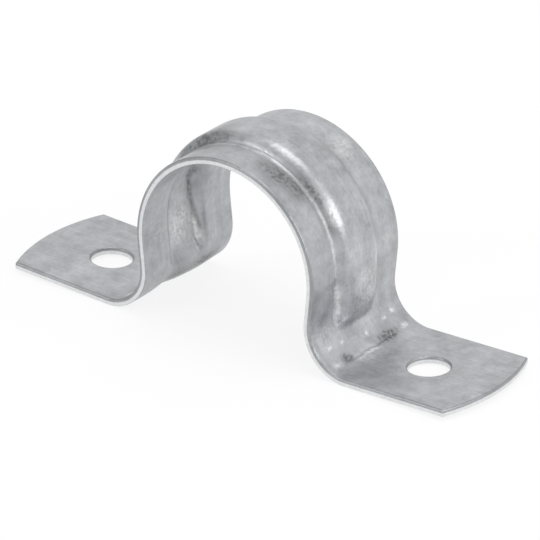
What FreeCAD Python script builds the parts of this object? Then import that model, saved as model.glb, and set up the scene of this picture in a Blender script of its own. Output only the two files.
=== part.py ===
import FreeCAD, Part
import math
import os

# Two-hole conduit strap, folded from one strip of zinc-coated steel sheet.
# Frame: mm, +Z up, XZ is the side view of the arch, Y runs along the conduit.
# z = 0 is the wall the strap lies on; x = 0, y = 0 is the middle of the arch.

V = FreeCAD.Vector

# ---- sheet and plan ----
sheet_t = 0.85          # sheet thickness
strap_w = 16.5          # width of the strip, along the conduit
hole_spacing = 46.0     # between the two screw holes
hole_d = 4.95           # screw hole
corner_x = 30.85        # half length at the corners of a foot
tip_x = 32.5            # half length at the middle of the curved foot end
edge_roll = 0.25        # edge the punch rolls down all round the outer face

# ---- side view of the plain bands ----
arch_r = 11.8           # inside of the arch, holds the conduit
arch_z = 10.61          # height of the arch centre over the wall
leg_pinch = math.radians(6.0)     # the legs lean in below the arch centre
bend_r = 4.85           # bend from leg to foot, measured on the upper face
foot_tilt = math.radians(2.0)     # the free ends of the feet stand up a little

# ---- raised rib over the arch ----
rib_rise = 1.2          # crown over the plain bands
rib_half = 3.9          # half width at the foot of its flanks
shoulder_r = 2.0        # rounding of the crown into a flank
valley_r = 0.5          # rounding of a flank into the plain band
nose_lean = math.radians(32.0)    # how far the end of the crown leans in to the bend
nose_turn = 2.8         # reach of the rounding where the crown starts to lean
nose_foot = 0.7         # reach of the hollow where the rib dies out on the bend
nose_end = math.radians(31.0)     # turn of the bend at which the rib has died out
nose_split = 0.72       # share of the nose between its rounding and its hollow

# ---- crease pressed across the bends under the rib ----
crease_turn = math.radians(66.0)  # turn of the bend at which it lies
crease_r = 0.6          # radius of the tool's edge
crease_depth = 0.18
crease_half = 4.8       # half its length

outer_r = arch_r + sheet_t
crown_r = outer_r + rib_rise
half_w = strap_w / 2
blank_x = tip_x + 2.0     # the strip before its curved ends are cut
punch = 2.0               # half the height of the cutting tools
bend_z = bend_r + sheet_t
bend_x = (outer_r + bend_r + (bend_z - arch_z) * math.sin(leg_pinch)) / math.cos(leg_pinch)
flank_turn = math.acos(1 - rib_rise / (shoulder_r + valley_r))
crown_half = rib_half - (shoulder_r + valley_r) * math.sin(flank_turn)


def polar(cx, cz, r, angle):
    return (cx + r * math.cos(angle), cz + r * math.sin(angle))


def arc_poles(cx, cz, r, a0, a1):
    """Three weighted poles of the arc about (cx, cz) from angle a0 to a1."""
    half = (a1 - a0) / 2
    x0, z0 = polar(cx, cz, r, a0)
    xm, zm = polar(cx, cz, r / math.cos(half), a0 + half)
    x1, z1 = polar(cx, cz, r, a1)
    return [(x0, z0, 1.0), (xm, zm, math.cos(half)), (x1, z1, 1.0)]


def line_poles(p, q):
    return [(*p, 1.0), (*q, 1.0)]


def meet(p, a, q, b):
    """Point where the line through p at angle a meets the line through q at angle b."""
    run = ((q[0] - p[0]) * math.sin(b) - (q[1] - p[1]) * math.cos(b)) / math.sin(b - a)
    return (p[0] + run * math.cos(a), p[1] + run * math.sin(a))


def foot_point(x, depth):
    """Point of a foot at distance x from the middle, depth below its upper face."""
    x0 = bend_x + (bend_r + depth) * math.sin(foot_tilt)
    z0 = bend_z - (bend_r + depth) * math.cos(foot_tilt)
    return (x, z0 + (x - x0) * math.tan(foot_tilt))


def band_profile(depth):
    """Lower arch, leg and top of the bend of a plain band, depth below its outer face."""
    r = outer_r - depth
    rb = bend_r + depth
    leg_top = polar(0, arch_z, r, -leg_pinch)
    leg_end = polar(bend_x, bend_z, rb, math.pi - leg_pinch)
    middle = math.pi + (nose_end - leg_pinch) / 2
    return [
        arc_poles(0, arch_z, r, 0, -leg_pinch),
        line_poles(leg_top, leg_end),
        arc_poles(bend_x, bend_z, rb, math.pi - leg_pinch, middle),
        arc_poles(bend_x, bend_z, rb, middle, math.pi + nose_end),
    ]


def crown_profile(depth):
    """The same four pieces along the crown: straight, leg, and the nose that dies out."""
    r = crown_r - depth
    straight, leg, upper, lower = band_profile(depth)
    leg_mid = (r, arch_z - outer_r * math.sin(leg_pinch))
    end = lower[2][:2]
    lean = math.pi / 2 - nose_lean
    tangent = math.pi / 2 + nose_end
    outer_end = polar(bend_x, bend_z, bend_r, math.pi + nose_end)
    on_nose = polar(*polar(*outer_end, nose_foot, tangent), depth, lean + math.pi / 2)
    hollow = meet(end, tangent, on_nose, lean)
    turn = meet((r, arch_z), math.pi / 2, on_nose, lean)
    top = (r, turn[1] + nose_turn)
    split = [a + nose_split * (b - a) for a, b in zip(turn, hollow)]
    return [
        [(r, arch_z, 1.0), (r, (arch_z + leg_mid[1]) / 2, straight[1][2]), (*leg_mid, 1.0)],
        line_poles(leg_mid, top),
        [(*top, 1.0), (*turn, upper[1][2]), (*split, 1.0)],
        [(*split, 1.0), (*hollow, lower[1][2]), (*end, 1.0)],
    ]


def bend_edge(depth, y):
    """Rest of the bend, from the end of the rib to the foot, alike across the width."""
    poles = arc_poles(bend_x, bend_z, bend_r + depth, math.pi + nose_end, 1.5 * math.pi + foot_tilt)
    return arc_or_line(poles, lambda x, z: V(x, y, z))


def rib_section(depth):
    """Pieces across the rib, valley to crown: y from the middle, share of the rise, weight.

    The outer face is rounded in the valley and on the shoulder. The inner face has the
    flank's straight line, crisp at both ends as the punch leaves it."""
    half = math.tan(flank_turn / 2)
    if depth:
        return [[
            (rib_half - (valley_r + depth) * half, 0.0, 1.0),
            (crown_half + (shoulder_r - depth) * half, 1.0, 1.0),
        ]]
    w = math.cos(flank_turn / 2)
    lift = valley_r * (1 - math.cos(flank_turn)) / rib_rise
    knee = (rib_half - valley_r * math.sin(flank_turn), lift, 1.0)
    valley = [(rib_half, 0.0, 1.0), (rib_half - valley_r * half, 0.0, w), knee]
    shoulder = [knee, (crown_half + shoulder_r * half, 1.0, w), (crown_half, 1.0, 1.0)]
    return [valley, shoulder]


def curve_edge(poles, y):
    """Edge of a weighted profile piece in the plane of a given y."""
    points = [V(x, y, z) for x, z, w in poles]
    weights = [w for x, z, w in poles]
    curve = Part.BSplineCurve()
    curve.buildFromPolesMultsKnots(points, [3, 3], [0, 1], False, 2, weights)
    return curve.toShape()


def arc_or_line(poles, place):
    """Circle arc of three weighted poles, or line of two, set in space by place(a, b)."""
    start = place(poles[0][0], poles[0][1])
    end = place(poles[-1][0], poles[-1][1])
    if len(poles) == 2:
        return Part.makeLine(start, end)
    a0, b0, w0 = poles[0]
    a1, b1, w1 = poles[1]
    a2, b2, w2 = poles[2]
    share = 2 + 2 * w1
    middle = place((a0 + 2 * w1 * a1 + a2) / share, (b0 + 2 * w1 * b1 + b2) / share)
    return Part.Arc(start, middle, end).toShape()


def arch_edge(r, y):
    """Half circle over the conduit, from the left side to the right."""
    return Part.Arc(V(-r, y, arch_z), V(0, y, arch_z + r), V(r, y, arch_z)).toShape()


def band_edges(depth, y):
    return [arc_or_line(piece, lambda x, z: V(x, y, z)) for piece in band_profile(depth)]


def crown_edges(depth, y):
    straight, leg, turn, hollow = crown_profile(depth)
    top = V(straight[0][0], y, straight[0][1])
    knee = V(leg[0][0], y, leg[0][1])
    nose = V(leg[1][0], y, leg[1][1])
    curves = [curve_edge(turn, y), curve_edge(hollow, y)]
    return [Part.makeLine(top, knee), Part.makeLine(knee, nose)] + curves


def flank_patch(band, crown, section, side):
    """Surface piece of a rib flank between the band profile and the crown profile."""
    rows = []
    weights = []
    for b, c in zip(band, crown):
        row = []
        for y, share, wy in section:
            x = b[0] + share * (c[0] - b[0])
            z = b[1] + share * (c[1] - b[1])
            row.append(V(x, side * y, z))
        rows.append(row)
        weights.append([b[2] * wy for y, share, wy in section])
    along = len(rows)
    across = len(section)
    patch = Part.BSplineSurface()
    patch.buildFromPolesMultsKnots(
        rows, [along, along], [across, across], [0, 1], [0, 1],
        False, False, along - 1, across - 1, weights)
    return patch


def arch_faces(depth):
    """One face of the sheet over the arch: two bands, two flanks and the crown."""
    r = outer_r - depth
    sections = rib_section(depth)
    valley_y = sections[0][0][0]
    crown_y = sections[-1][-1][0]
    band_run = V(0, half_w - valley_y, 0)
    faces = [arch_edge(r, y).extrude(band_run) for y in (-half_w, valley_y)]
    faces.append(arch_edge(crown_r - depth, -crown_y).extrude(V(0, 2 * crown_y, 0)))
    for side in (-1, 1):
        for section in sections:
            edge = arc_or_line(section, lambda y, share: V(-r - rib_rise * share, side * y, arch_z))
            faces.append(edge.revolve(V(0, 0, arch_z), V(0, 1, 0), 180))
    return faces


def leg_faces(depth):
    """One face of the right leg, its bend and its foot."""
    faces = []
    sections = rib_section(depth)
    valley_y = sections[0][0][0]
    crown_y = sections[-1][-1][0]
    for y in (-half_w, valley_y):
        faces += [e.extrude(V(0, half_w - valley_y, 0)) for e in band_edges(depth, y)]
    faces += [e.extrude(V(0, 2 * crown_y, 0)) for e in crown_edges(depth, -crown_y)]
    for side in (-1, 1):
        for section in sections:
            for b, c in zip(band_profile(depth), crown_profile(depth)):
                faces.append(flank_patch(b, c, section, side).toShape())
    ys = stations(sections)
    faces += [bend_edge(depth, a).extrude(V(0, b - a, 0)) for a, b in zip(ys, ys[1:])]
    faces.append(foot_face(depth, ys))
    return faces


def stations(sections):
    """Places across the width where the pieces of one face meet."""
    half = [half_w] + [section[0][0] for section in sections] + [sections[-1][-1][0]]
    return [-y for y in half] + half[::-1]


def foot_face(depth, ys):
    """Flat face of a foot, from the end of the bends to beyond the foot end."""
    bend_end = bend_x + (bend_r + depth) * math.sin(foot_tilt)
    outline = [(bend_end, y) for y in ys] + [(blank_x, half_w), (blank_x, -half_w)]
    corners = []
    for x, y in outline + outline[:1]:
        px, pz = foot_point(x, depth)
        corners.append(V(px, y, pz))
    return Part.Face(Part.makePolygon(corners))


def end_face():
    top = foot_point(blank_x, 0)
    low = foot_point(blank_x, sheet_t)
    corners = [
        V(top[0], -half_w, top[1]),
        V(top[0], half_w, top[1]),
        V(low[0], half_w, low[1]),
        V(low[0], -half_w, low[1]),
    ]
    return Part.Face(Part.makePolygon(corners + corners[:1]))


def cut_face(y):
    """Sheared side of the whole strip in the plane of a given y."""
    edges = []
    ends = []
    for depth in (0, sheet_t):
        px, pz = foot_point(blank_x, depth)
        sx, sz = foot_point(bend_x + (bend_r + depth) * math.sin(foot_tilt), depth)
        ends.append(V(px, y, pz))
        edges += band_edges(depth, y) + [bend_edge(depth, y)]
        edges.append(Part.makeLine(V(sx, y, sz), ends[-1]))
    edges.append(Part.makeLine(ends[0], ends[1]))
    edges += [mirrored(e) for e in edges]
    edges += [arch_edge(outer_r, y), arch_edge(arch_r, y)]
    return Part.Face(Part.Wire(Part.__sortEdges__(edges)))


def mirrored(shape):
    return shape.mirror(V(0, 0, 0), V(1, 0, 0))


def folded_strip():
    """Arch, rib and untrimmed feet as one closed solid."""
    right = leg_faces(0) + leg_faces(sheet_t) + [end_face()]
    left = [mirrored(f) for f in right]
    middle = arch_faces(0) + arch_faces(sheet_t) + [cut_face(-half_w), cut_face(half_w)]
    skin = Part.Compound(right + left + middle)
    skin.sewShape(0.0001)
    solid = Part.Solid(skin.Shells[0])
    if solid.Volume < 0:
        solid.reverse()
    return solid


def end_trim():
    """What is cut away past the curved end of a foot."""
    sagitta = tip_x - corner_x
    end_r = (sagitta ** 2 + half_w ** 2) / (2 * sagitta)
    centre = tip_x - end_r
    wide = half_w + 1.0
    rim_x = centre + math.sqrt(end_r ** 2 - wide ** 2)
    far = blank_x + 2.0
    arc = Part.Arc(V(rim_x, -wide, 0), V(tip_x, 0, 0), V(rim_x, wide, 0)).toShape()
    rest = Part.makePolygon([V(rim_x, wide, 0), V(far, wide, 0), V(far, -wide, 0), V(rim_x, -wide, 0)])
    return Part.Face(Part.Wire([arc] + rest.Edges)).extrude(V(0, 0, 2 * punch))


def foot_punches():
    """End trim and screw hole of the right foot, both square to the wall."""
    hole = Part.makeCylinder(hole_d / 2, 2 * punch, V(hole_spacing / 2, 0, 0))
    return [end_trim(), hole]


def crease_tool():
    """Rounded bar that leaves the crease across the right bend."""
    x, z = polar(bend_x, bend_z, bend_r - crease_r + crease_depth, math.pi + crease_turn)
    bar = Part.makeCylinder(crease_r, 2 * crease_half, V(x, -crease_half, z), V(0, 1, 0))
    ends = [Part.makeSphere(crease_r, V(x, y, z), V(0, 1, 0)) for y in (-crease_half, crease_half)]
    return bar.multiFuse(ends).removeSplitter()


def near(a, b):
    return abs(a - b) < 0.001


def on_outer_face(x, z):
    """True where a point of the side view lies on the outer face of a plain band."""
    x = abs(x)
    if near(math.hypot(x, z - arch_z), outer_r):
        return True
    if z > bend_z + bend_r * math.sin(leg_pinch):
        return near(x * math.cos(leg_pinch) - (z - arch_z) * math.sin(leg_pinch), outer_r)
    if x < bend_x + bend_r * math.sin(foot_tilt):
        return near(math.hypot(x - bend_x, z - bend_z), bend_r)
    return near(z, foot_point(x, 0)[1])


def outer_rim(solid):
    """Edges where the outer face of the sheet meets its sheared sides, ends and holes."""
    rim = []
    for edge in solid.Edges:
        middle = edge.valueAt((edge.FirstParameter + edge.LastParameter) / 2)
        to_hole = math.hypot(abs(middle.x) - hole_spacing / 2, middle.y)
        on_side = near(abs(middle.y), half_w)
        at_hole = to_hole < hole_d / 2 + 0.01
        at_end = abs(middle.x) > corner_x
        if (on_side or at_hole or at_end) and on_outer_face(middle.x, middle.z):
            rim.append(edge)
    return rim


strap = folded_strip()
for tool in foot_punches() + [crease_tool()]:
    strap = strap.cut(tool).cut(mirrored(tool))
strap = strap.removeSplitter()
strap = strap.makeChamfer(edge_roll, outer_rim(strap))
os.makedirs("parts", exist_ok=True)
strap.exportStep("parts/strap.step")
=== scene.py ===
import math

import bmesh
import bpy
import numpy as np
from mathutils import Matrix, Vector


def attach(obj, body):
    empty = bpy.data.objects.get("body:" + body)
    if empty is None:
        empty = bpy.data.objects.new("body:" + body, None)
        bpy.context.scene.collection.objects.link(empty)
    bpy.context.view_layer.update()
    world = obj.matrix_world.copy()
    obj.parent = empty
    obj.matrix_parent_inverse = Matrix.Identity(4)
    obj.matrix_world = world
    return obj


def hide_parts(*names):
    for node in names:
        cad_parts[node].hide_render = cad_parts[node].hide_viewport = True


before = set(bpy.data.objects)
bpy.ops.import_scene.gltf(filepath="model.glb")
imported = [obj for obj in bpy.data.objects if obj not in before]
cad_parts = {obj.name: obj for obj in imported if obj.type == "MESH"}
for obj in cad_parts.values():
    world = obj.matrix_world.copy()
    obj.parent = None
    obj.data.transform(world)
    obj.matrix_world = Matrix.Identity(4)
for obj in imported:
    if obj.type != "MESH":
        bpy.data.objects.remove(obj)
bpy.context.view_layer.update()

MM = 0.001

# ---- the strap's sizes, in mm, as in its solid ----
SHEET = 0.85           # thickness of the sheet
STRAP_W = 16.5         # width of the strip, along the conduit
HOLE_SPACING = 46.0    # between the two screw holes
HOLE_D = 4.95
CORNER_X = 30.85       # half length at the corners of a foot
TIP_X = 32.5           # half length at the middle of the curved foot end
ARCH_R = 11.8          # inside of the arch
ARCH_Z = 10.61         # height of the arch's centre over the wall
LEG_PINCH = math.radians(6.0)     # the legs lean in below the arch's centre
BEND_R = 4.85          # bend from leg to foot, on the upper face
FOOT_TILT = math.radians(2.0)     # the free ends of the feet stand up a little

RIB_RISE = 1.2         # crown over the plain bands
RIB_HALF = 3.9         # half width at the foot of its flanks
SHOULDER_R = 2.0       # rounding of the crown into a flank
VALLEY_R = 0.5         # rounding of a flank into the plain band
NOSE_LEAN = math.radians(32.0)    # how far the end of the crown leans in to the bend
NOSE_TURN = 2.8        # reach of the rounding where the crown starts to lean
NOSE_FOOT = 0.7        # reach of the hollow where the rib dies out on the bend
NOSE_END = math.radians(31.0)     # turn of the bend at which the rib has died out
NOSE_SPLIT = 0.72      # share of the nose between its rounding and its hollow

# ---- crease pressed across each bend, softer and less even than in the solid ----
CREASE_TURN = math.radians(66.0)  # turn of the bend at which it lies
CREASE_DEPTH = 0.12
CREASE_HALF = 4.8      # half its length
CREASE_HALF_WIDE = 0.26
CREASE_FADE = 0.25     # over this length its ends run out
CREASE_WAVE = 0.09     # how far it wanders from its line
CREASE_WAVES = ((1.0, 1.7, 0.5), (0.5, 4.3, 0.0))     # share, rate along y and start of each wave
# the bright lip is a highlight painted along the crease's lower side
LIP_GAP = 0.46         # from the crease down to the middle of the painted highlight on its lower lip
LIP_HALF_WIDE = 0.20
LIP_Y = -1.6           # middle of the lip along the crease
LIP_HALF = 2.1         # half its length
LIP_FLATNESS = 6       # even power: the higher, the more even the lip along its length
LIP_HIGHLIGHT = 1.4

# ---- edges as the press leaves them ----
ROLL = 0.25            # rounded edge on the side the punch came from
BURR = 0.04            # small bevel on the other side

# ---- sizes that follow ----
OUTER_R = ARCH_R + SHEET
CROWN_R = OUTER_R + RIB_RISE
HALF_W = STRAP_W / 2
BEND_Z = BEND_R + SHEET                # the axis of the right bend is at BEND_X, BEND_Z
BEND_X = (OUTER_R + BEND_R + (BEND_Z - ARCH_Z) * math.sin(LEG_PINCH)) / math.cos(LEG_PINCH)
FLANK_TURN = math.acos(1 - RIB_RISE / (SHOULDER_R + VALLEY_R))
CROWN_HALF = RIB_HALF - (SHOULDER_R + VALLEY_R) * math.sin(FLANK_TURN)

# ---- marks of the forming tool on a bend ----
# Each has the turn of the bend in degrees, y, half its length along y, half its width and its depth.
NICKS = (
    (38.0, -6.0, 0.46, 0.30, 0.08),
    (37.5, 6.0, 0.40, 0.26, 0.08),
    (40.0, -3.6, 0.26, 0.18, 0.05),
    (40.5, 4.4, 0.30, 0.24, 0.06),
    (48.6, 0.2, 0.44, 0.24, 0.07),
    (47.0, 0.6, 0.24, 0.30, 0.05),
    (64.5, 6.2, 0.52, 0.28, 0.08),
    (66.0, -6.4, 0.60, 0.34, 0.06),
)
POCKETS = (
    (61.5, -4.6, 0.46, 0.44, 0.11),
    (63.0, -4.0, 0.50, 0.22, 0.05),
    (63.4, 1.7, 0.20, 0.40, 0.05),
    (64.0, 2.3, 0.22, 0.50, 0.07),
    (64.6, 2.95, 0.22, 0.52, 0.07),
    (65.0, 3.6, 0.22, 0.52, 0.07),
    (64.6, 4.2, 0.22, 0.46, 0.06),
    (64.0, 4.8, 0.20, 0.36, 0.05),
)
UNDERSIDE = (          # below zero a hollow, above zero a low swelling
    (53.0, -2.4, 1.7, 1.4, -0.40),
    (55.0, 4.0, 3.2, 1.4, 0.18),
)

NICK_HIGHLIGHT = 1.6       # strength of the highlight painted on the nicks
POCKET_SHADE = 1.8      # strength of the shade painted in the pockets

# ---- worn places, painted highlights and painted light, and stains with painted shade: x, y, z, radius, strength ----
SCUFFS_AND_HIGHLIGHTS = (
    # painted highlights inside the left leg: a broad patch, then a thin line beside the rib's flank
    (-13.0, 0.0, 8.3, 2.4, 0.80),
    (-12.5, 2.7, 6.0, 0.7, 0.80),
    (-12.4, -5.2, 9.5, 1.4, 0.25),
    (13.6, -3.4, 5.6, 1.0, 0.35),
    (13.3, -3.5, 4.2, 0.7, 0.50),
    (13.4, 2.8, 11.2, 1.1, 0.70),
    (13.7, 0.0, 9.0, 1.7, 0.55),
    # painted light, this and the next four: lightens the shade on the nose of the right rib and low
    # in its front valley
    (13.2, 1.2, 4.3, 1.3, 0.42),
    (13.6, 0.4, 6.2, 1.6, 0.75),
    (13.2, -1.4, 5.4, 1.1, 0.70),
    (13.0, -2.8, 4.9, 0.8, 0.60),
    (12.6, -4.8, 9.2, 1.0, 0.50),
    # painted highlight on the front shoulder of the rib, this and the next
    (11.1, -2.9, 18.2, 0.9, 0.80),
    (11.8, -2.8, 17.2, 0.8, 0.70),
    (12.6, -6.0, 5.0, 2.0, 0.35),
    (13.0, 5.8, 12.0, 1.0, 0.35),
    (6.4, 5.6, 21.6, 1.9, 0.60),
    (3.6, -2.6, 23.9, 1.6, 0.40),
)
STAINS_AND_SHADE = (
    (5.2, -5.2, 22.1, 1.7, 1.00),
    (6.9, -5.0, 21.1, 1.3, 0.80),
    (8.3, -5.0, 20.2, 1.0, 0.50),
    (3.4, -5.6, 22.9, 1.0, 0.50),
    # painted dark reflection along the front valley of the rib over the left of the arch, this and
    # the next four
    (-1.2, -3.4, 23.7, 0.8, 0.60),
    (-3.4, -3.2, 23.4, 1.1, 0.80),
    (-5.6, -3.2, 22.6, 1.5, 0.90),
    (-7.6, -3.2, 21.5, 1.6, 1.00),
    (-9.4, -3.0, 20.0, 1.6, 0.90),
    (-5.2, -1.0, 23.4, 1.5, 0.35),
    # painted shade along the back valley of the rib, this and the next
    (5.9, 3.6, 22.3, 1.1, 0.60),
    (7.6, 3.7, 21.0, 0.9, 0.50),
    # painted dark reflection in the front valley beside the shoulder's highlight, this and the next
    # four
    (7.8, -3.6, 20.9, 0.9, 1.00),
    (8.9, -3.5, 20.0, 0.9, 1.00),
    (9.9, -3.5, 19.0, 0.9, 1.00),
    (10.8, -3.5, 17.8, 0.9, 1.00),
    (11.6, -3.5, 16.4, 0.9, 0.90),
    # painted shade in the pockets at both ends of the right crease, this and the next
    (14.9, 3.2, 1.3, 1.1, 0.60),
    (14.7, -4.5, 1.5, 0.7, 0.60),
    (16.2, 2.2, 0.9, 1.5, 0.30),
    # painted shade in the groove along the rib inside the left leg, this and the next
    (-12.3, 1.9, 14.8, 0.9, 0.90),
    (-12.5, 2.3, 12.6, 0.7, 0.60),
    # painted shade in the hollow low inside the left leg, this and the next
    (-12.6, -1.5, 3.2, 1.6, 0.50),
    (-12.9, 3.5, 3.0, 1.4, 0.40),
)

# ---- painted shade and painted highlights along streaks on the legs: points along the streak, half width, strength ----
SHADE_STREAKS = (
    # painted shade in the groove along the rib inside the left leg, then in the hollow low inside it
    (((-12.3, 1.0, 14.9), (-12.7, 1.5, 13.4), (-13.0, 2.2, 10.7), (-12.6, 2.6, 8.9),
      (-12.1, 2.8, 7.3)), 0.36, 1.0),
    (((-12.6, -2.6, 2.2), (-12.4, 1.9, 2.4), (-12.3, 5.6, 2.5)), 1.15, 0.80),
)
HIGHLIGHT_STREAKS = (
    # painted highlights: a thin line beside the rib's flank inside the left leg, then low in the
    # right rib's front valley
    (((-12.6, 2.5, 8.0), (-12.4, 2.6, 6.2), (-12.0, 2.5, 4.6)), 0.26, 0.8),
    (((12.6, -3.7, 9.4), (12.7, -3.5, 7.7), (12.6, -3.4, 5.1), (12.8, -3.3, 4.3)), 0.24, 0.8),
)

# ---- painted highlight along the front valley of the rib and painted shade along the back one: y, half width, strength ----
VALLEY_HIGHLIGHT = (-RIB_HALF, 0.16, 0.8)
VALLEY_SHADE = (RIB_HALF - 0.3, 0.4, 0.6)
VALLEY_LINES_END = ARCH_Z - 3.0   # height at which they run out down the legs
VALLEY_LINES_FADE = 0.6           # over this height
VALLEY_LINES_DEPTH = 0.3 * SHEET  # deeper than this in the sheet there are none

# ---- how finely the skin is divided: along the strap ----
ARCH_STEPS = 48
LOW_ARCH_STEPS = 4
LEG_STEPS = 6
NOSE_STEPS = 12
HOLLOW_STEPS = 9
BEND_STEPS = 56
SIDE_STEPS = 36        # along a side of a foot
TIP_STEPS = 48         # round the end of a foot
HOLE_STEPS = 12        # from the edge of a hole out to the edge of the foot
HOLE_CROWDING = 1.25   # above 1, these steps are smaller near the hole

# ---- and across it ----
CROWN_STEPS = 13
SHOULDER_STEPS = 10
VALLEY_STEPS = 6
BAND_STEPS = 30
ROLL_STEPS = 5
SHEARED_STEPS = 4

WELD_GAP = 0.002       # points nearer than this are one
SHARP_TURN = math.radians(32)     # edges that turn more are drawn sharp


# ------------------------------------------------------------------ side view of the strap

def on_line(p, angle, length):
    """Point at a length from p, in the direction of angle."""
    return (p[0] + length * math.cos(angle), p[1] + length * math.sin(angle))


def meet(p, a, q, b):
    """Point where the line through p at angle a meets the line through q at angle b."""
    run = ((q[0] - p[0]) * math.sin(b) - (q[1] - p[1]) * math.cos(b)) / math.sin(b - a)
    return on_line(p, a, run)


def foot_start(depth):
    """Distance from the middle at which a bend ends and its flat foot starts."""
    return BEND_X + (BEND_R + depth) * math.sin(FOOT_TILT)


def foot_height(x, depth):
    """Height of a foot at distance x from the middle, depth below its upper face."""
    z0 = BEND_Z - (BEND_R + depth) * math.cos(FOOT_TILT)
    return z0 + (x - foot_start(depth)) * math.tan(FOOT_TILT)


def arc_poles(cx, cz, r, a0, a1):
    """Three weighted poles of the arc about (cx, cz) from angle a0 to a1."""
    half = (a1 - a0) / 2
    start = on_line((cx, cz), a0, r)
    middle = on_line((cx, cz), a0 + half, r / math.cos(half))
    end = on_line((cx, cz), a1, r)
    return [(*start, 1.0), (*middle, math.cos(half)), (*end, 1.0)]


def bend_pieces(depth):
    """Rest of the bend, alike across the width."""
    start = math.pi + NOSE_END
    return [arc_poles(BEND_X, BEND_Z, BEND_R + depth, start, 1.5 * math.pi + FOOT_TILT)]


def band_pieces(depth):
    """Lower arch, leg and top of the bend of a plain band, depth below the outer face."""
    r = OUTER_R - depth
    rb = BEND_R + depth
    leg_top = on_line((0, ARCH_Z), -LEG_PINCH, r)
    leg_end = on_line((BEND_X, BEND_Z), math.pi - LEG_PINCH, rb)
    middle = math.pi + (NOSE_END - LEG_PINCH) / 2
    return [
        arc_poles(0, ARCH_Z, r, 0, -LEG_PINCH),
        [(*leg_top, 1.0), (*leg_end, 1.0)],
        arc_poles(BEND_X, BEND_Z, rb, math.pi - LEG_PINCH, middle),
        arc_poles(BEND_X, BEND_Z, rb, middle, math.pi + NOSE_END),
    ]


def crown_pieces(depth):
    """The same four pieces along the crown: straight, leg, and the nose that dies out."""
    r = CROWN_R - depth
    straight, leg, upper, lower = band_pieces(depth)
    leg_mid = (r, ARCH_Z - OUTER_R * math.sin(LEG_PINCH))
    end = lower[2][:2]
    lean = math.pi / 2 - NOSE_LEAN
    tangent = math.pi / 2 + NOSE_END
    outer_end = on_line((BEND_X, BEND_Z), math.pi + NOSE_END, BEND_R)
    on_nose = on_line(on_line(outer_end, tangent, NOSE_FOOT), lean + math.pi / 2, depth)
    hollow = meet(end, tangent, on_nose, lean)
    turn = meet((r, ARCH_Z), math.pi / 2, on_nose, lean)
    top = (r, turn[1] + NOSE_TURN)
    split = tuple(a + NOSE_SPLIT * (b - a) for a, b in zip(turn, hollow))
    return [
        [(r, ARCH_Z, 1.0), (r, (ARCH_Z + leg_mid[1]) / 2, straight[1][2]), (*leg_mid, 1.0)],
        [(*leg_mid, 1.0), (*top, 1.0)],
        [(*top, 1.0), (*turn, upper[1][2]), (*split, 1.0)],
        [(*split, 1.0), (*hollow, lower[1][2]), (*end, 1.0)],
    ]


def trace(poles, steps):
    """Points along a line or a weighted arc, without the first one."""
    t = np.linspace(0, 1, steps + 1)[1:, None]
    p = np.array([q[:2] for q in poles])
    if len(poles) == 2:
        return (1 - t) * p[0] + t * p[1]
    w = poles[1][2]
    top = (1 - t) ** 2 * p[0] + 2 * w * t * (1 - t) * p[1] + t ** 2 * p[2]
    return top / ((1 - t) ** 2 + 2 * w * t * (1 - t) + t ** 2)


def side_path(radius, pieces):
    """Right half of a side view, from the top of the arch to the end of the bend."""
    steps = (LOW_ARCH_STEPS, LEG_STEPS, NOSE_STEPS, HOLLOW_STEPS, BEND_STEPS)
    turn = np.radians(np.linspace(90, 0, ARCH_STEPS + 1))
    arch = np.stack([radius * np.cos(turn), ARCH_Z + radius * np.sin(turn)], 1)
    return np.concatenate([arch] + [trace(p, n) for p, n in zip(pieces, steps)])


# ------------------------------------------------------------------ across the strap

def rib_rows(depth):
    """Half of a rib's section, crown to valley: (y, share of the rise)."""
    rows = []
    shoulder = SHOULDER_R - depth
    valley = VALLEY_R + depth
    for y in np.linspace(0, CROWN_HALF, CROWN_STEPS + 1)[:-1]:
        rows.append((y, 1.0))
    for a in np.linspace(0, FLANK_TURN, SHOULDER_STEPS + 1)[:-1]:
        drop = shoulder * (1 - math.cos(a))
        rows.append((CROWN_HALF + shoulder * math.sin(a), 1 - drop / RIB_RISE))
    for a in np.linspace(FLANK_TURN, 0, VALLEY_STEPS + 1):
        lift = valley * (1 - math.cos(a))
        rows.append((RIB_HALF - valley * math.sin(a), lift / RIB_RISE))
    return rows


def face_rows(depth, edge_y):
    """All rows of one face of the sheet, from -edge_y to edge_y: (y, depth, share)."""
    band = [(y, 0.0) for y in np.linspace(RIB_HALF, edge_y, BAND_STEPS + 1)[1:]]
    far = [(y, depth, share) for y, share in rib_rows(depth) + band]
    near = [(-y, d, share) for y, d, share in far[:0:-1]]
    return near + far


def edge_profile():
    """Sheared edge from the outer face to the inner one: (inset, depth, freshly cut)."""
    rows = []
    for a in np.linspace(0, math.pi / 2, ROLL_STEPS + 1)[1:]:
        rows.append((ROLL * (1 - math.sin(a)), ROLL * (1 - math.cos(a)), False))
    for depth in np.linspace(ROLL, SHEET - BURR, SHEARED_STEPS + 1)[1:]:
        rows.append((0.0, depth, True))
    return rows


def section_loop():
    """The whole section as a closed loop of (y, depth, share, freshly cut)."""
    outer = [(*row, False) for row in face_rows(0.0, HALF_W - ROLL)]
    inner = [(*row, False) for row in face_rows(SHEET, HALF_W - BURR)]
    far = [(HALF_W - inset, depth, 0.0, cut) for inset, depth, cut in edge_profile()]
    near = [(-y, depth, share, cut) for y, depth, share, cut in far]
    return outer + far + inner[::-1] + near[::-1]


def is_rolled(depth):
    """True on the rows that round the sheared edge over."""
    return 0 < depth < ROLL + BURR / 2


# ------------------------------------------------------------------ marks pressed into a bend

def bend_turn(points):
    """Turn of the right bend at which each point lies."""
    return np.arctan2(BEND_Z - points[:, 2], BEND_X - points[:, 0])


def within_bend(points):
    """True in the quarter round the right bend's axis that the bend takes up."""
    return (points[:, 0] < BEND_X) & (points[:, 2] < BEND_Z)


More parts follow.
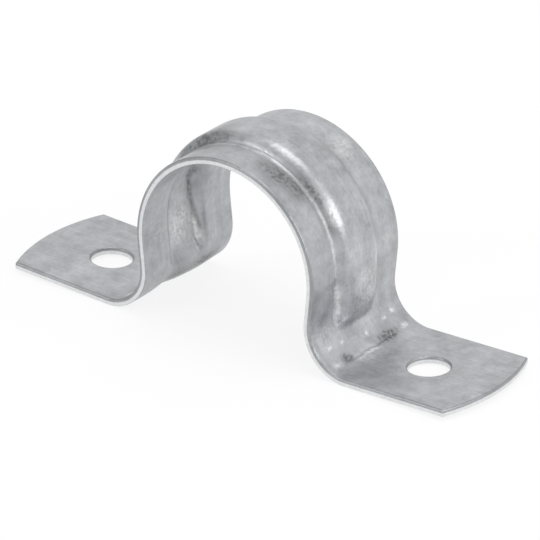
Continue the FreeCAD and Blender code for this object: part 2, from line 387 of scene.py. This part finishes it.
def press(points, depth):
    """Points of the sheet moved away from the right bend's axis by a depth, within the bend."""
    away = points - np.array([BEND_X, 0.0, BEND_Z])
    away[:, 1] = 0.0
    away /= np.linalg.norm(away, axis=1)[:, None]
    return points + away * (depth * within_bend(points))[:, None]


def below_crease(points):
    """Distance round the bend from the crease's line, which wanders a little, to each point."""
    y = points[:, 1]
    wave = sum(share * np.sin(rate * y + start) for share, rate, start in CREASE_WAVES)
    return (bend_turn(points) - CREASE_TURN) * BEND_R - CREASE_WAVE * wave


def crease_shape(points):
    """Share of the crease's depth at each point of the right bend."""
    ends = 1 / (1 + np.exp((np.abs(points[:, 1]) - CREASE_HALF) / CREASE_FADE))
    return ends * np.exp(-(below_crease(points) / CREASE_HALF_WIDE) ** 2)


def mark_shape(points, mark):
    """Bell-shaped share of one mark's depth at each point of the right bend."""
    turn, at_y, half_long, half_wide = mark[:4]
    along = (bend_turn(points) - math.radians(turn)) * BEND_R
    return np.exp(-(((points[:, 1] - at_y) / half_long) ** 2 + (along / half_wide) ** 2))


def marks_depth(points, marks):
    """Depth of all the marks together at each point of the right bend."""
    return sum(mark[4] * mark_shape(points, mark) for mark in marks)


def press_upper_side(points):
    """The crease, the nicks and the pockets in the upper side of the right bend."""
    return press(points, CREASE_DEPTH * crease_shape(points) + marks_depth(points, NICKS + POCKETS))


def press_underside(points):
    """The hollow and the low swelling in the underside of the right bend."""
    return press(points, marks_depth(points, UNDERSIDE))


# ------------------------------------------------------------------ where it is worn and stained, and where highlights and shade are painted

def spots(points, places):
    """Soft round spots, at most 1."""
    total = np.zeros(len(points))
    for x, y, z, radius, strength in places:
        gap = np.linalg.norm(points - np.array([x, y, z]), axis=1)
        total += strength * np.exp(-(gap / radius) ** 2)
    return np.minimum(total, 1.0)


def streaks(points, lines):
    """Soft streaks, at most 1, each along its row of points."""
    total = np.zeros(len(points))
    for line, half_wide, strength in lines:
        gap = np.full(len(points), np.inf)
        for start, end in zip(np.array(line[:-1]), np.array(line[1:])):
            along = end - start
            share = np.clip((points - start) @ along / (along @ along), 0, 1)[:, None]
            gap = np.minimum(gap, np.linalg.norm(points - start - share * along, axis=1))
        total += strength * np.exp(-(gap / half_wide) ** 2)
    return np.minimum(total, 1.0)


def on_right_half(points):
    """The points of both halves of the strap, those of the left one moved to the right."""
    return np.stack([np.abs(points[:, 0]), points[:, 1], points[:, 2]], 1)


def on_upper_side(points):
    """True on the upper side of the right bend."""
    radius = np.hypot(points[:, 0] - BEND_X, points[:, 2] - BEND_Z)
    return within_bend(points) & (radius < BEND_R + SHEET / 2)


def bend_marks(points, marks, gain):
    """Mask over the tool's marks on the upper sides of both bends, at most 1, for a painted
    highlight on the nicks and painted shade in the pockets.
    """
    right = on_right_half(points)
    total = gain * sum(mark_shape(right, mark) for mark in marks)
    return np.minimum(total, 1.0) * on_upper_side(right)


def crease_lip_highlight(points):
    """Painted highlight on the lower lip of the crease, over its front half."""
    right = on_right_half(points)
    across = (below_crease(right) - LIP_GAP) / LIP_HALF_WIDE
    along = (right[:, 1] - LIP_Y) / LIP_HALF
    return LIP_HIGHLIGHT * np.exp(-across ** 2 - along ** LIP_FLATNESS) * on_upper_side(right)


def valley_line(points, line):
    """Narrow painted line along one valley of the rib over the arch, on the outer face."""
    at_y, half_wide, strength = line
    radius = np.hypot(points[:, 0], points[:, 2] - ARCH_Z)
    on_outer_face = radius > OUTER_R - VALLEY_LINES_DEPTH
    fade = 1 / (1 + np.exp((VALLEY_LINES_END - points[:, 2]) / VALLEY_LINES_FADE))
    return strength * np.exp(-((points[:, 1] - at_y) / half_wide) ** 2) * fade * on_outer_face


def set_mask(mesh, name, values):
    """Keep a value for each point of the mesh, for the finish to read."""
    layer = mesh.attributes.get(name) or mesh.attributes.new(name, "FLOAT", "POINT")
    layer.data.foreach_set("value", np.asarray(values, np.float32))


def add_masks(mesh):
    """Where the zinc is worn bright and where highlights are painted, and where it carries stains
    and where shade is painted.
    """
    flat = np.empty(3 * len(mesh.vertices))
    mesh.vertices.foreach_get("co", flat)
    points = flat.reshape(-1, 3) / MM
    # the bright mask joins worn places with painted highlights and painted light
    bright = spots(points, SCUFFS_AND_HIGHLIGHTS) + streaks(points, HIGHLIGHT_STREAKS)
    bright += bend_marks(points, NICKS, NICK_HIGHLIGHT) + crease_lip_highlight(points)
    bright += valley_line(points, VALLEY_HIGHLIGHT)
    # the dark mask joins stains with painted shade and dark reflections
    dark = spots(points, STAINS_AND_SHADE) + streaks(points, SHADE_STREAKS)
    dark += bend_marks(points, POCKETS, POCKET_SHADE) + valley_line(points, VALLEY_SHADE)
    set_mask(mesh, "worn_and_highlight", np.minimum(bright, 1.0))
    set_mask(mesh, "stain_and_shade", np.minimum(dark, 1.0))


# ------------------------------------------------------------------ the skin of the strap

class Skin:
    """Points and four-sided faces of the sheet's surface, gathered part by part."""

    def __init__(self):
        self.points = []
        self.rolled = []
        self.quads = []
        self.cut = []
        self.count = 0

    def add(self, grid, closed, cut_columns, rolled_columns):
        """A grid of points, rows by columns, whose columns may close into a loop.

        cut_columns tells which columns of faces are freshly cut, and rolled_columns
        which columns of points are rolled over."""
        rows, columns = grid.shape[:2]
        index = self.count + np.arange(rows * columns).reshape(rows, columns)
        self.points.append(grid.reshape(-1, 3))
        self.rolled.append(np.tile(np.array(rolled_columns, float), rows))
        self.count += rows * columns
        last = columns if closed else columns - 1
        for j in range(last):
            k = (j + 1) % columns
            strip = np.stack([index[:-1, j], index[:-1, k], index[1:, k], index[1:, j]], 1)
            self.quads.append(strip)
            self.cut += [bool(cut_columns[j])] * len(strip)


def sweep_band(skin):
    """Arch, rib, legs and bends, as the section carried along the side view."""
    loop = section_loop()
    columns = []
    for y, depth, share, fresh in loop:
        bend = bend_pieces(depth)
        band = side_path(OUTER_R - depth, band_pieces(depth) + bend)
        crown = side_path(CROWN_R - depth, crown_pieces(depth) + bend)
        xz = band + share * (crown - band)
        right = np.stack([xz[:, 0], np.full(len(xz), y), xz[:, 1]], 1)
        if depth == 0:
            right = press_upper_side(right)
        if depth == SHEET:
            right = press_underside(right)
        left = right[:0:-1] * np.array([-1.0, 1.0, 1.0])
        columns.append(np.concatenate([left, right]))
    cut = [loop[j][3] and loop[(j + 1) % len(loop)][3] for j in range(len(loop))]
    rolled = [is_rolled(depth) for y, depth, share, fresh in loop]
    skin.add(np.stack(columns, 1), True, cut, rolled)


def foot_outline(inset, depth):
    """One side, the curved end and the other side of a foot, moved in from the edge."""
    sagitta = TIP_X - CORNER_X
    end_r = (sagitta ** 2 + HALF_W ** 2) / (2 * sagitta)
    centre = TIP_X - end_r
    y = HALF_W - inset
    r = end_r - inset
    corner = centre + math.sqrt(r ** 2 - y ** 2)
    side = np.linspace(foot_start(depth), corner, SIDE_STEPS + 1)[:-1]
    end_turn = math.atan2(y, corner - centre)
    turn = np.linspace(end_turn, -end_turn, TIP_STEPS + 1)
    xs = np.concatenate([side, centre + r * np.cos(turn), side[::-1]])
    ys = np.concatenate([np.full(SIDE_STEPS, y), r * np.sin(turn), np.full(SIDE_STEPS, -y)])
    return np.stack([xs, ys], 1)


def lift_to_foot(xy, depth):
    """Flat outline points set on the foot's tilted plane."""
    z = foot_height(xy[..., 0], depth)
    return np.concatenate([xy, z[..., None]], -1)


def foot_ring(inset, depth):
    """Closed outline of one face of the right foot: the end of its bend, then the foot."""
    bend_end = [(foot_start(depth), y) for y, d, share in face_rows(depth, HALF_W - inset)]
    return np.concatenate([np.array(bend_end)[:-1], foot_outline(inset, depth)[:-1]])


def foot_grids(profile):
    """The right foot: rim, upper face, wall of the hole and lower face."""
    rim = [lift_to_foot(foot_outline(inset, depth), depth) for inset, depth, cut in profile]
    outer_ring = foot_ring(ROLL, 0.0)
    centre = np.array([HOLE_SPACING / 2, 0.0])
    away = outer_ring - centre
    spoke = away / np.linalg.norm(away, axis=1)[:, None]
    hole_r = HOLE_D / 2
    wall = [lift_to_foot(centre + spoke * (hole_r + inset), depth) for inset, depth, cut in profile]
    share = np.linspace(0, 1, HOLE_STEPS + 1)[:, None, None] ** HOLE_CROWDING
    faces = []
    for ring, inset, depth in ((outer_ring, ROLL, 0.0), (foot_ring(BURR, SHEET), BURR, SHEET)):
        edge = centre + spoke * (hole_r + inset)
        faces.append(lift_to_foot(edge * (1 - share) + ring * share, depth))
    return np.stack(rim, 1), faces[0], np.stack(wall, 1), faces[1]


def add_feet(skin):
    """Both feet, with the left one as the mirror image of the right one."""
    profile = [(ROLL, 0.0, False)] + edge_profile() + [(BURR, SHEET, True)]
    rim, upper, wall, lower = foot_grids(profile)
    wall_seam = np.concatenate([wall[-1:], wall[:1]])
    cut = [fresh for inset, depth, fresh in profile]
    edge_cut = [a and b for a, b in zip(cut, cut[1:])] + [False]
    rolled = [is_rolled(depth) for inset, depth, fresh in profile]
    for side in (1.0, -1.0):
        flip = np.array([side, 1.0, 1.0])
        for edge in (rim, wall, wall_seam):
            skin.add(edge * flip, False, edge_cut, rolled)
        for face in (upper, lower):
            closed = np.concatenate([face, face[:, :1]], 1) * flip
            plain = [False] * closed.shape[1]
            skin.add(closed, False, plain, plain)


def weld(mesh):
    """Join the parts of the skin to one closed surface with its faces turned outwards."""
    bm = bmesh.new()
    bm.from_mesh(mesh)
    bmesh.ops.remove_doubles(bm, verts=bm.verts, dist=WELD_GAP * MM)
    bmesh.ops.recalc_face_normals(bm, faces=bm.faces)
    loose = sum(1 for edge in bm.edges if not edge.is_manifold)
    if loose:
        raise RuntimeError(f"the strap's skin is open along {loose} edges")
    bm.to_mesh(mesh)
    bm.free()


def make_strap():
    """The whole strap as one closed skin; its second material is for freshly cut faces."""
    skin = Skin()
    sweep_band(skin)
    add_feet(skin)
    mesh = bpy.data.meshes.new("zinc_strap")
    points = np.concatenate(skin.points) * MM
    mesh.from_pydata(points.tolist(), [], np.concatenate(skin.quads).tolist())
    mesh.polygons.foreach_set("material_index", np.array(skin.cut, np.int32))
    set_mask(mesh, "rolled", np.concatenate(skin.rolled))
    weld(mesh)
    add_masks(mesh)
    mesh.polygons.foreach_set("use_smooth", [True] * len(mesh.polygons))
    mesh.set_sharp_from_angle(angle=SHARP_TURN)
    strap = bpy.data.objects.new("zinc_strap", mesh)
    bpy.context.scene.collection.objects.link(strap)
    return strap


# ------------------------------------------------------------------ finishes

ZINC_TONE = (0.449, 0.459, 0.478, 1.0)
CUT_TONE = (0.74, 0.75, 0.76, 1.0)
METALLIC = 0.80        # the rest is the pale oxide on the zinc
RELIEF = 0.10          # height of the zinc's unevenness, mm
GRAIN_RELIEF = 0.14    # the grain's part in it
LINE_RELIEF = 0.12     # the rolling lines' part in it
PATCH_SHADE = 0.8      # how much the wide patches add to the clouds
CLOUD_ROUGHNESS = 0.22
STAIN_AND_SHADE_ROUGHNESS = 0.08

# ---- the zinc's unevenness: waves per mm, detail, and how much finer it is along x, y and z ----
CLOUDS = (0.55, 5.0, (1.0, 1.0, 1.0))
PATCHES = (0.2, 3.0, (1.0, 1.0, 1.0))
GRAIN = (2.4, 4.0, (1.0, 1.0, 1.0))
ROLLING_LINES = (1.0, 4.0, (0.14, 3.2, 0.14))
NOISE_ROUGHNESS = 0.62

# ---- what is laid over the zinc's colour, real stains and wear as well as painted highlights and painted shade: mask, depth, tone, whether the grain and the clouds break it up ----
TONE_LAYERS = (
    # painted shade: a dark reflection drawn along the rounded edge
    ("Rolled", 0.50, (0.24, 0.245, 0.25, 1.0), False),
    # stains, with painted shade and dark reflections in the valleys, pockets and hollows
    ("Stain_and_shade", 0.80, (0.17, 0.175, 0.18, 1.0), True),
    # worn places, with painted highlights and painted light
    ("Worn_and_highlight", 0.70, (0.80, 0.81, 0.82, 1.0), True),
)
BREAK_LEVEL = 0.85
BREAK_BY_GRAIN = 3.4
BREAK_BY_CLOUDS = 2.0

# ---- colour sockets of a mix node ----
MIX_FACTOR = 0
MIX_FIRST = 6
MIX_SECOND = 7
MIX_RESULT = 2


def node(tree, kind, **values):
    """A new node; each value is for its input of that name, or else for its setting."""
    made = tree.nodes.new(kind)
    for name, value in values.items():
        if name in made.inputs:
            made.inputs[name].default_value = value
        else:
            setattr(made, name, value)
    return made


def feed(tree, source, socket):
    """Link a socket, or set a plain value."""
    if isinstance(source, bpy.types.NodeSocket):
        tree.links.new(source, socket)
    else:
        socket.default_value = source


def math_node(tree, operation, first, second):
    """Result of an operation on two values, each a socket or a plain number."""
    made = node(tree, "ShaderNodeMath", operation=operation)
    feed(tree, first, made.inputs[0])
    feed(tree, second, made.inputs[1])
    return made.outputs[0]


def add_up(tree, total, *terms):
    """A value plus each of some other values times its weight."""
    for value, weight in terms:
        total = math_node(tree, "ADD", total, math_node(tree, "MULTIPLY", value, weight))
    return total


def blend(tree, share, plain, other):
    """Colour mixed from plain to other by share."""
    made = node(tree, "ShaderNodeMix", data_type="RGBA")
    feed(tree, share, made.inputs[MIX_FACTOR])
    feed(tree, plain, made.inputs[MIX_FIRST])
    feed(tree, other, made.inputs[MIX_SECOND])
    return made.outputs[MIX_RESULT]


def noise(tree, place, kind):
    """Noise about zero."""
    scale, detail, stretch = kind
    turned = node(tree, "ShaderNodeMapping", Scale=stretch)
    tree.links.new(place, turned.inputs["Vector"])
    made = node(tree, "ShaderNodeTexNoise", Scale=scale, Detail=detail, Roughness=NOISE_ROUGHNESS)
    tree.links.new(turned.outputs[0], made.inputs["Vector"])
    return math_node(tree, "SUBTRACT", made.outputs[0], 0.5)


def new_group(name, inputs, outputs):
    """A node group with its own named inputs and outputs."""
    group = bpy.data.node_groups.new(name, "ShaderNodeTree")
    for label, kind in inputs:
        group.interface.new_socket(label, in_out="INPUT", socket_type="NodeSocket" + kind)
    for label, kind in outputs:
        group.interface.new_socket(label, in_out="OUTPUT", socket_type="NodeSocket" + kind)
    return group, node(group, "NodeGroupInput"), node(group, "NodeGroupOutput")


def lay_tones(group, enter, colour, uneven):
    """The colour with painted shade on the rolled edge, stains with painted shade, and worn places
    with painted highlights laid over it.
    """
    for name, depth, tone, broken in TONE_LAYERS:
        share = math_node(group, "MULTIPLY", enter.outputs[name], depth)
        if broken:
            share = math_node(group, "MULTIPLY", share, uneven)
        clamped = node(group, "ShaderNodeClamp")
        group.links.new(share, clamped.inputs["Value"])
        colour = blend(group, clamped.outputs[0], colour, tone)
    return colour


def zinc_surface():
    """Clouded, faintly lined zinc with worn places and painted highlights, stains and painted shade,
    and painted shade on the rolled edge.
    """
    inputs = [("Place", "Vector"), ("Tone", "Color")]
    inputs += [(label, "Float") for label in ("Cloud", "Lines", "Grain", "Roughness")]
    inputs += [(name, "Float") for name, depth, tone, broken in TONE_LAYERS]
    outputs = [("Colour", "Color"), ("Roughness", "Float"), ("Relief", "Float")]
    group, enter, leave = new_group("zinc_surface", inputs, outputs)
    given = enter.outputs
    clouds = noise(group, given["Place"], CLOUDS)
    patches = noise(group, given["Place"], PATCHES)
    grain = noise(group, given["Place"], GRAIN)
    lines = noise(group, given["Place"], ROLLING_LINES)
    soft = add_up(group, clouds, (patches, PATCH_SHADE))
    shade = add_up(
        group, 1.0, (soft, given["Cloud"]), (lines, given["Lines"]), (grain, given["Grain"]))
    tinted = node(group, "ShaderNodeVectorMath", operation="SCALE")
    group.links.new(given["Tone"], tinted.inputs[0])
    group.links.new(shade, tinted.inputs["Scale"])
    uneven = add_up(group, BREAK_LEVEL, (grain, BREAK_BY_GRAIN), (clouds, BREAK_BY_CLOUDS))
    colour = lay_tones(group, enter, tinted.outputs[0], uneven)
    rough = add_up(
        group, given["Roughness"], (soft, CLOUD_ROUGHNESS), (given["Stain_and_shade"], STAIN_AND_SHADE_ROUGHNESS))
    relief = add_up(group, clouds, (grain, GRAIN_RELIEF), (lines, LINE_RELIEF))
    group.links.new(colour, leave.inputs["Colour"])
    group.links.new(rough, leave.inputs["Roughness"])
    group.links.new(relief, leave.inputs["Relief"])
    return group


def zinc_finish(name, surface, **values):
    """A finish of the strap: the zinc surface with its own tone and unevenness."""
    material = bpy.data.materials.new(name)
    material.use_nodes = True
    tree = material.node_tree
    shader = tree.nodes["Principled BSDF"]
    shader.inputs["Metallic"].default_value = METALLIC
    coords = node(tree, "ShaderNodeTexCoord")
    in_mm = node(tree, "ShaderNodeVectorMath", operation="SCALE", Scale=1 / MM)
    tree.links.new(coords.outputs["Object"], in_mm.inputs[0])
    look = node(tree, "ShaderNodeGroup", node_tree=surface)
    tree.links.new(in_mm.outputs[0], look.inputs["Place"])
    for label, value in values.items():
        look.inputs[label].default_value = value
    for label, depth, tone, broken in TONE_LAYERS:
        mask = node(tree, "ShaderNodeAttribute", attribute_name=label.lower())
        tree.links.new(mask.outputs["Fac"], look.inputs[label])
    bump = node(tree, "ShaderNodeBump", Strength=1.0, Distance=RELIEF * MM)
    tree.links.new(look.outputs["Relief"], bump.inputs["Height"])
    tree.links.new(look.outputs["Colour"], shader.inputs["Base Color"])
    tree.links.new(look.outputs["Roughness"], shader.inputs["Roughness"])
    tree.links.new(bump.outputs[0], shader.inputs["Normal"])
    return material


# ------------------------------------------------------------------ floor, light and camera

VIEW_AZIMUTH = math.radians(37.31)
VIEW_HEIGHT = math.radians(26.33)
VIEW_DISTANCE = 0.6771
VIEW_CENTRE = (0.00029, 0.00566)     # how far right and up of the origin the view is centred
LENS = 391.0
SENSOR_WIDTH = 36.0
CLIP_START = 0.02
CLIP_END = 20.0

LAMP_REACH = 1.4       # from the origin to each lamp
LAMP_POWER = 4.0       # power of a lamp of level 1, for each square metre of it
ROOM_LEVEL = 0.68      # brightness of the room all round
FLOOR_TONE = (0.9, 0.9, 0.9, 1.0)
FLOOR_WHITE = 0.85     # share of plain white in the floor where it is seen
FLOOR_REACH = 3.0
FLOOR_DROP = 0.00002   # keeps the floor clear of the underside of the feet
WHITE = (1.0, 1.0, 1.0, 1.0)

# ---- soft lamps: name, azimuth, height, size, level ----
LAMPS = (
    ("front_right", -41, 30, (0.3, 0.3), 3.2),
    ("front_left", -118, 27, (0.5, 0.5), 2.8),
    ("above", 60, 84, (0.8, 0.8), 1.7),
    ("right", 0, 28, (1.0, 0.8), 1.7),
    ("back_left", 125, 28, (1.5, 1.0), 0.22),
    ("back_right", 50, 28, (1.5, 1.0), 0.22),
)


def view_axes():
    """Directions to the right, upwards and back towards the camera in the main view."""
    a, e = VIEW_AZIMUTH, VIEW_HEIGHT
    right = Vector((math.cos(a), math.sin(a), 0))
    up = Vector((-math.sin(a) * math.sin(e), math.cos(a) * math.sin(e), math.cos(e)))
    back = Vector((math.sin(a) * math.cos(e), -math.cos(a) * math.cos(e), math.sin(e)))
    return right, up, back


def add_camera():
    """Long lens from the front right, a little above the strap."""
    right, up, back = view_axes()
    data = bpy.data.cameras.new("camera")
    data.lens = LENS
    data.sensor_width = SENSOR_WIDTH
    data.clip_start = CLIP_START
    data.clip_end = CLIP_END
    camera = bpy.data.objects.new("camera", data)
    camera.location = right * VIEW_CENTRE[0] + up * VIEW_CENTRE[1] + back * VIEW_DISTANCE
    camera.rotation_euler = back.to_track_quat("Z", "Y").to_euler()
    bpy.context.scene.collection.objects.link(camera)
    bpy.context.scene.camera = camera


def add_lamp(name, azimuth, height, size, level):
    """Soft lamp facing the strap, at azimuth and height in degrees, level as its brightness."""
    a, e = math.radians(azimuth), math.radians(height)
    way = Vector((math.cos(e) * math.cos(a), math.cos(e) * math.sin(a), math.sin(e)))
    data = bpy.data.lights.new(name, "AREA")
    data.shape = "RECTANGLE"
    data.size, data.size_y = size
    data.energy = level * LAMP_POWER * size[0] * size[1]
    lamp = bpy.data.objects.new(name, data)
    lamp.location = way * LAMP_REACH
    lamp.rotation_euler = way.to_track_quat("Z", "Y").to_euler()
    bpy.context.scene.collection.objects.link(lamp)


def seen_directly(tree):
    """1 on what the camera, a mirror or glass sees, 0 on what only lights the strap."""
    path = node(tree, "ShaderNodeLightPath")
    seen = math_node(tree, "MAXIMUM", path.outputs["Is Camera Ray"], path.outputs["Is Glossy Ray"])
    return math_node(tree, "MAXIMUM", seen, path.outputs["Is Transmission Ray"])


def mix_shaders(tree, share, first, second, kind):
    """Feed the output of a new tree with first and second, mixed by share."""
    out = node(tree, kind)
    mix = node(tree, "ShaderNodeMixShader")
    tree.links.new(share, mix.inputs["Fac"])
    tree.links.new(first.outputs[0], mix.inputs[1])
    tree.links.new(second.outputs[0], mix.inputs[2])
    tree.links.new(mix.outputs[0], out.inputs["Surface"])


def floor_finish():
    """Pale floor that is seen white and keeps a light shadow under the strap."""
    material = bpy.data.materials.new("pale_floor")
    material.use_nodes = True
    tree = material.node_tree
    tree.nodes.clear()
    matt = node(tree, "ShaderNodeBsdfDiffuse", Color=FLOOR_TONE)
    white = node(tree, "ShaderNodeEmission", Color=WHITE, Strength=1.0)
    share = math_node(tree, "MULTIPLY", seen_directly(tree), FLOOR_WHITE)
    mix_shaders(tree, share, matt, white, "ShaderNodeOutputMaterial")
    return material


def add_floor():
    """Wide floor just under the feet."""
    mesh = bpy.data.meshes.new("floor")
    reach = FLOOR_REACH
    corners = [(-reach, -reach, 0), (reach, -reach, 0), (reach, reach, 0), (-reach, reach, 0)]
    mesh.from_pydata(corners, [], [(0, 1, 2, 3)])
    mesh.materials.append(floor_finish())
    floor = bpy.data.objects.new("floor", mesh)
    floor.location.z = -FLOOR_DROP
    bpy.context.scene.collection.objects.link(floor)


def add_room():
    """Even light from all round, seen as white behind the strap."""
    world = bpy.data.worlds.new("studio")
    world.use_nodes = True
    bpy.context.scene.world = world
    tree = world.node_tree
    tree.nodes.clear()
    room = node(tree, "ShaderNodeBackground", Color=WHITE, Strength=ROOM_LEVEL)
    white = node(tree, "ShaderNodeBackground", Color=WHITE, Strength=1.0)
    path = node(tree, "ShaderNodeLightPath")
    mix_shaders(tree, path.outputs["Is Camera Ray"], room, white, "ShaderNodeOutputWorld")


# ------------------------------------------------------------------ the scene

strap = make_strap()
surface = zinc_surface()
strap.data.materials.append(zinc_finish(
    "zinc_coat", surface, Tone=ZINC_TONE, Cloud=0.82, Lines=0.35, Grain=0.35, Roughness=0.36))
strap.data.materials.append(zinc_finish(
    "sheared_edge", surface, Tone=CUT_TONE, Cloud=0.2, Lines=0.0, Grain=0.4, Roughness=0.38))
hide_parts("strap")
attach(strap, "root")

add_floor()
add_room()
for lamp in LAMPS:
    add_lamp(*lamp)
add_camera()
bpy.context.scene.view_settings.view_transform = "Standard"
